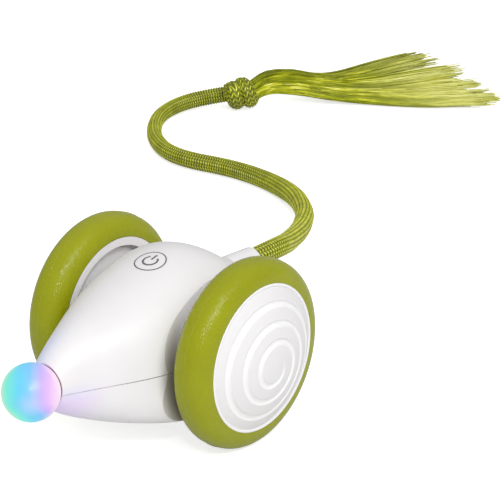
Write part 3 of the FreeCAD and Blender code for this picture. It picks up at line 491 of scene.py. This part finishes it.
def smooth_line(points):
    """The points of the smooth curve that a route controls."""
    curve = bpy.data.curves.new("route", "CURVE")
    curve.dimensions = "3D"
    spline = curve.splines.new("NURBS")
    spline.points.add(len(points) - 1)
    for control, point in zip(spline.points, points):
        control.co = (*point, 1)
    spline.order_u = 3
    spline.use_endpoint_u = True
    spline.resolution_u = 32
    holder = bpy.data.objects.new("route", curve)
    bpy.context.scene.collection.objects.link(holder)
    bpy.context.view_layer.update()
    mesh = bpy.data.meshes.new_from_object(holder)
    line = [v.co.copy() for v in mesh.vertices]
    bpy.data.objects.remove(holder)
    bpy.data.curves.remove(curve)
    bpy.data.meshes.remove(mesh)
    return line


def even_line(line, step):
    """The same line in equal steps, and its length."""
    reach = [0]
    for a, b in zip(line, line[1:]):
        reach.append(reach[-1] + (b - a).length)
    count = max(2, round(reach[-1] / step))
    made, i = [], 0
    for k in range(count + 1):
        want = reach[-1] * k / count
        while i < len(reach) - 2 and reach[i + 1] < want:
            i += 1
        share = (want - reach[i]) / max(1e-12, reach[i + 1] - reach[i])
        made.append(line[i].lerp(line[i + 1], share))
    return made, reach[-1]


def carried_frames(line):
    """Tangent and side of each point, carried along without twist."""
    tangents = [(line[min(i + 1, len(line) - 1)] - line[max(i - 1, 0)]).normalized()
                for i in range(len(line))]
    side = tangents[0].orthogonal().normalized()
    frames = []
    for tangent in tangents:
        side = (side - tangent * side.dot(tangent)).normalized()
        frames.append((tangent, side))
    return frames


def cord_width(share):
    """The braid is slack and fuller halfway, and drawn thin before the knot."""
    slack = 0.085 * math.exp(-((share - 0.53) / 0.07) ** 2)
    drawn = 0.13 * math.exp(-((share - 0.84) / 0.09) ** 2)
    return cord_radius * MM * (1 + slack - drawn)


def cord_stitch(share):
    """Stitches are longer where the cord leaves the collar. Real ones are 0.9 mm: coarser here to show."""
    return 1.12 * MM * (1 + 0.35 * math.exp(-(share / 0.13) ** 2))


def braided_tube(name, line, radius, columns, stitch_length, depth, twist, slant):
    """A tube whose surface is the braid's stitches; its relief attribute is 1 on a stitch, 0 between."""
    shares = (0.04, 0.3, 0.56, 0.82)
    dense, length = even_line(line, stitch_length(1) / 4)
    rows, relief, stitches = [], [], 0
    for i, (middle, (tangent, side)) in enumerate(zip(dense, carried_frames(dense))):
        other = tangent.cross(side)
        along = length * i / (len(dense) - 1)
        stitches += length / (len(dense) - 1) / stitch_length(along / length)
        width = radius(along / length)
        row = []
        for column in range(columns):
            lean = slant if column % 2 else -slant
            for share in shares:
                angle = 2 * math.pi * (column + share + twist * along / length) / columns
                crown = max(0.0, 4 * share * (1 - share)) ** 0.35
                wave = 0.5 + 0.5 * math.cos(2 * math.pi * (stitches + lean * (share - 0.5)))
                rise = crown * (0.08 + 0.92 * wave ** 1.3)
                out = width - depth * (1 - rise)
                row.append(middle + (side * math.cos(angle) + other * math.sin(angle)) * out)
                relief.append(rise)
        rows.append(row)
    mesh = grid_mesh(name, rows, closed_rows=True)
    mesh.attributes.new("relief", "FLOAT", "POINT").data.foreach_set("value", relief)
    return mesh


braid, shader, place = new_material("olive_polyester_braid")
relief = add(braid, "Attribute", {}, attribute_name="relief").node.outputs["Fac"]
tone = add(braid, "TexNoise", {"Vector": place, "Scale": per_metre(5)})
# Painted shade and highlight: the relief sets the base colour from dark olive between the stitches to
# near-white yellow on their crests.
painted_stitch_light = add(braid, "ValToRGB", {"Fac": relief})
ramp = painted_stitch_light.node.color_ramp
ramp.elements[0].color = linear("#343c00")
ramp.elements[1].color = linear("#fdfdae")
for at, code in ((0.35, "#666e00"), (0.6, "#989e04"), (0.8, "#d6da38")):
    ramp.elements.new(at).color = linear(code)
filament = add(braid, "TexNoise", {"Vector": place, "Scale": per_metre(0.25)})
connect(braid, shader, {
    "Base Color": add(braid, "HueSaturation", {
        "Color": painted_stitch_light, "Value": add(braid, "MapRange", {"Value": tone, "From Min": 0.3, "From Max": 0.7,
                                                         "To Min": 0.72, "To Max": 1.18})}),
    "Roughness": add(braid, "MapRange", {"Value": relief, "To Min": 0.5, "To Max": 0.16}),
    "IOR": 1.57, "Specular IOR Level": 1.0, "Specular Tint": "#f6f89a",
    "Sheen Weight": 0.06, "Sheen Roughness": 0.25, "Sheen Tint": "#eef09a",
    "Normal": add(braid, "Bump", {"Height": filament, "Distance": 0.03 * MM, "Strength": 0.5})})

route = smooth_line([(axle * 1000 + Vector((x, y, z - 30))) * MM for x, y, z in tail_route])
path, cord_length = even_line(route, 2 * MM)
cord_mesh = braided_tube("braided_tail_cord", route, cord_width, cord_columns, cord_stitch,
                         stitch_depth * MM, cord_twist, cord_slant)
cord = add_piece(cord_mesh, "tail", braid, "green_braid", "tail_cord")

# Tail knot: the cord's own end, wound twice round itself and pulled tight, so the braid's columns
# run round it.
knot_middle = (axle * 1000 + Vector((-164.2, 236.5, 7.2 - 30))) * MM
knot_bearing = math.radians(48)
knot_axis = Vector((math.cos(knot_bearing), math.sin(knot_bearing), 0))
knot_across = Vector((-math.sin(knot_bearing), math.cos(knot_bearing), 0))
wraps = 18
knot_columns = 18
knot_slant = 0.85
knot_points = [(-5.0, 0.8, 100)]
for i in range(wraps + 1):
    gone = i / wraps
    knot_points.append((-3.9 + 8.2 * gone ** 1.15, 3.1 - 0.35 * gone, 130 + 560 * gone))
knot_points += [(4.8, 0.8, 720)]
knot_line = smooth_line([
    knot_middle + (knot_axis * a + (knot_across * math.cos(math.radians(t))
                                    + Vector((0, 0, 1)) * math.sin(math.radians(t))) * r) * MM
    for a, r, t in knot_points])
knot_mesh = braided_tube("braided_tail_knot", knot_line, lambda share: (4.15 - 0.4 * share) * MM,
                         knot_columns, lambda share: 1.1 * MM, stitch_depth * MM, 0, knot_slant)
knot = add_piece(knot_mesh, "tail", braid, "green_braid", "tail_knot")

# Tassel: the yarn of the cord's end, combed out below the knot. Silky locks that leave it in a hump,
# then lie on the floor and part into two fans with ragged, paler tips.
random.seed(7)
tassel_bearing = math.radians(57.5)
tassel_ahead = Vector((math.cos(tassel_bearing), math.sin(tassel_bearing), 0))
tassel_side = Vector((-math.sin(tassel_bearing), math.cos(tassel_bearing), 0))
tassel_foot = Vector((knot_middle.x, knot_middle.y, 0))
far_edge = [Vector(p) for p in ((4, 1.5, 9.8), (12, 4, 12.6), (24, 6.5, 10.8), (37, 10, 6.5), (49, 16, 3.8),
                                (65, 25, 2.6), (82, 34, 1.8), (97, 39, 1.5), (109, 42, 1.5))]
near_edge = [Vector(p) for p in ((4, -1.5, 4), (12, -1.5, 6), (24, -3, 4.4), (36, -7.7, 2.6),
                                 (50.5, -13.4, 1.2), (70.9, -24.3, 1), (85, -29, 1), (97, -33, 1),
                                 (109, -36, 1))]
locks, strands_in_lock, strand_steps = 52, 17, 18
verts, faces, along_values, shade_values = [], [], [], []


def on_edge(edge, share):
    """A place on the smooth line through an edge's points: ahead, aside and up in millimetres."""
    place = min(max(share, 0) * (len(edge) - 1), len(edge) - 1.001)
    i = int(place)
    f = place - i
    a, b, c, d = (edge[min(max(k, 0), len(edge) - 1)] for k in (i - 1, i, i + 1, i + 2))
    return (2 * b + (c - a) * f + (2 * a - 5 * b + 4 * c - d) * f ** 2
            + (3 * b - a - 3 * c + d) * f ** 3) / 2


def strand_line(root, tip, end, across, lift, wave, phase):
    """The places along one strand; root and tip tell how far it lies from the near to the far edge."""
    line = []
    for i in range(strand_steps + 1):
        share = end * i / strand_steps
        parted = min(1, max(0, (share - 0.28) / 0.3))
        parted = parted * parted * (3 - 2 * parted)
        spot = on_edge(near_edge, share).lerp(on_edge(far_edge, share), root + (tip - root) * parted)
        loose = min(1, share / 0.25)
        spot.y += across * (1 - 0.6 * loose) + wave * loose * math.sin(9 * share + phase)
        spot.z = max(0.4, spot.z + lift * (0.4 + 0.6 * loose) + 0.3 * wave * math.sin(7 * share + phase))
        where = tassel_ahead * spot.x + tassel_side * spot.y + Vector((0, 0, spot.z))
        line.append(tassel_foot + where * MM)
    return line


for lock in range(locks):
    lock_root = (lock + 0.5) / locks
    in_far_fan = lock_root > 0.67
    lock_tip = 0.8 + (lock_root - 0.67) * 0.62 if in_far_fan else lock_root * 1.06
    lock_end = random.uniform(0.78, 0.88) if in_far_fan else random.uniform(0.84, 0.94)
    lock_across = random.uniform(-2.4, 2.4) * math.sqrt(max(0.1, 1 - (2 * lock_root - 1) ** 2))
    lock_lift = random.uniform(0, 1.6)
    lock_wave = random.uniform(0.3, 1.0)
    lock_phase = random.uniform(0, 6.3)
    lock_shade = random.random() * (0.7 if in_far_fan else 1)
    for _ in range(strands_in_lock):
        near = random.gauss(0, 0.008)
        far = random.gauss(0, 0.011)
        line = strand_line(lock_root + near, lock_tip + far, lock_end + random.uniform(-0.08, 0.03),
                           lock_across + random.gauss(0, 0.35), lock_lift + random.gauss(0, 0.3),
                           lock_wave, lock_phase + random.gauss(0, 0.15))
        shade = 0.65 * lock_shade + 0.35 * random.random()
        first = len(verts)
        for i, (middle, (tangent, side)) in enumerate(zip(line, carried_frames(line))):
            share = i / strand_steps
            thick = 0.4 * MM * (1 - 0.6 * share ** 4)
            other = tangent.cross(side)
            for corner in range(4):
                angle = math.pi / 2 * corner + 0.4
                verts.append(middle + (side * math.cos(angle) + other * math.sin(angle)) * thick)
                along_values.append(share * (0.82 if in_far_fan else 1))
                shade_values.append(shade)
        for i in range(strand_steps):
            for corner in range(4):
                a = first + i * 4 + corner
                b = first + i * 4 + (corner + 1) % 4
                faces.append((a, b, b + 4, a + 4))
        faces.append((first + 3, first + 2, first + 1, first))
        faces.append(tuple(first + strand_steps * 4 + k for k in range(4)))
mesh = bpy.data.meshes.new("tail_tassel_strands")
mesh.from_pydata(verts, [], faces)
mesh.shade_smooth()
mesh.attributes.new("along", "FLOAT", "POINT").data.foreach_set("value", along_values)
mesh.attributes.new("shade", "FLOAT", "POINT").data.foreach_set("value", shade_values)

floss, shader, place = new_material("olive_rayon_floss")
along = add(floss, "Attribute", {}, attribute_name="along").node.outputs["Fac"]
shade = add(floss, "Attribute", {}, attribute_name="shade").node.outputs["Fac"]
spread = add(floss, "Math", {0: shade, 1: 9.0}, operation="MULTIPLY")
thread = add(floss, "CombineXYZ", {"X": along, "Y": spread})
# Painted glints and shade: a streak noise along each strand, added to its random tone per lock and strand,
# sets the base colour from dark olive to pale yellow.
glint = add(floss, "TexNoise", {"Vector": thread, "Scale": 11.0, "Detail": 3})
tone_and_painted_glint = add(floss, "Math", {0: add(floss, "MapRange", {"Value": glint, "From Min": 0.3, "From Max": 0.7}),
                            1: shade}, operation="ADD")
depth = add(floss, "MapRange", {"Value": tone_and_painted_glint, "From Min": 0.4, "From Max": 1.6})
body_colour = add(floss, "ValToRGB", {"Fac": depth})
ramp = body_colour.node.color_ramp
ramp.elements[0].color = linear("#5a6300")
ramp.elements[1].color = linear("#fdfa8a")
for at, code in ((0.35, "#8d9504"), (0.6, "#b0b614"), (0.8, "#dfe040")):
    ramp.elements.new(at).color = linear(code)
tip_colour = add(floss, "Mix", {"Factor": depth, "A": "#c8c948", "B": "#ffffa8"}, data_type="RGBA")
# Paler towards the tips, and lighter still where the streak noise peaks.
paler_towards_tips = add(floss, "MapRange", {"Value": along, "From Min": 0.55, "From Max": 0.95},
           interpolation_type="SMOOTHSTEP")
connect(floss, shader, {
    "Base Color": add(floss, "Mix", {"Factor": paler_towards_tips, "A": body_colour, "B": tip_colour}, data_type="RGBA"),
    "Roughness": add(floss, "MapRange", {"Value": glint, "To Min": 0.45, "To Max": 0.2}),
    "IOR": 1.53, "Specular IOR Level": 0.6, "Specular Tint": "#f7f890",
    "Sheen Weight": 0.03, "Sheen Roughness": 0.35, "Sheen Tint": "#eef0a8",
    "Normal": add(floss, "Bump", {"Height": glint, "Distance": 0.05 * MM, "Strength": 0.4})})
tassel = add_piece(mesh, "tail", floss, "green_thread", "tail_tassel")

# Studio: a pale sheet as floor, one broad soft lamp above the near wheel and a white room that is
# brighter overhead. The camera has the photograph's place and angle.
floor_mesh = bpy.data.meshes.new("studio_floor")
floor_mesh.from_pydata([(-4, -4, 0), (4, -4, 0), (4, 6, 0), (-4, 6, 0)], [], [(0, 1, 2, 3)])
floor = bpy.data.objects.new("studio_floor", floor_mesh)
floor.location.z = -0.02 * MM
bpy.context.scene.collection.objects.link(floor)
paper, shader, place = new_material("white_paper_sweep")
tooth = add(paper, "TexNoise", {"Vector": place, "Scale": per_metre(3)})
ray = add(paper, "LightPath", {}).node.outputs["Is Camera Ray"]
connect(paper, shader, {
    "Base Color": add(paper, "Mix", {"Factor": tooth, "A": "#e9e9e9", "B": "#e5e5e5"}, data_type="RGBA"),
    "Roughness": add(paper, "MapRange", {"Value": tooth, "To Min": 0.85, "To Max": 0.95}),
    "Normal": add(paper, "Bump", {"Height": tooth, "Distance": 0.02 * MM, "Strength": 0.2}),
    "Emission Color": "#ffffff",
    "Emission Strength": add(paper, "Math", {0: ray, 1: 0.68}, operation="MULTIPLY")})
floor_mesh.materials.append(paper)

world = bpy.data.worlds.new("white_room")
bpy.context.scene.world = world
world.use_nodes = True
background = world.node_tree.nodes["Background"]
sky_way = add(world, "TexCoord", {}).node.outputs["Generated"]
upness = add(world, "VectorMath", {0: sky_way, 1: (0.25, -0.2, 0.94)}, operation="DOT_PRODUCT")
connect(world, background, {
    "Color": "#ffffff",
    "Strength": add(world, "MapRange", {"Value": upness, "From Min": -0.2,
                                        "To Min": 0.38, "To Max": 0.78})})


def add_lamp(name, watts, size, towards, distance):
    """A square area lamp that looks at the toy from a direction."""
    lamp = bpy.data.lights.new(name, "AREA")
    lamp.energy = watts
    lamp.size = size
    holder = bpy.data.objects.new(name, lamp)
    bpy.context.scene.collection.objects.link(holder)
    direction = Vector(towards).normalized()
    holder.location = axle + direction * distance
    holder.rotation_euler = direction.to_track_quat("Z", "Y").to_euler()


add_lamp("soft_key", 6.0, 0.65, (0.63, -0.26, 0.73), 1.3)
add_lamp("small_glint", 2.6, 0.08, (0.52, -0.58, 0.63), 1.3)

lens = bpy.data.cameras.new("photo_camera")
lens.lens = 185.9
lens.sensor_width = 36
camera = bpy.data.objects.new("photo_camera", lens)
camera.location = axle + Vector((476.33, -551.86, 329.48)) * MM
camera.rotation_euler = (math.radians(90 - 22.614), 0, math.radians(38.911))
bpy.context.scene.collection.objects.link(camera)
bpy.context.scene.camera = camera
bpy.context.scene.view_settings.view_transform = "Standard"
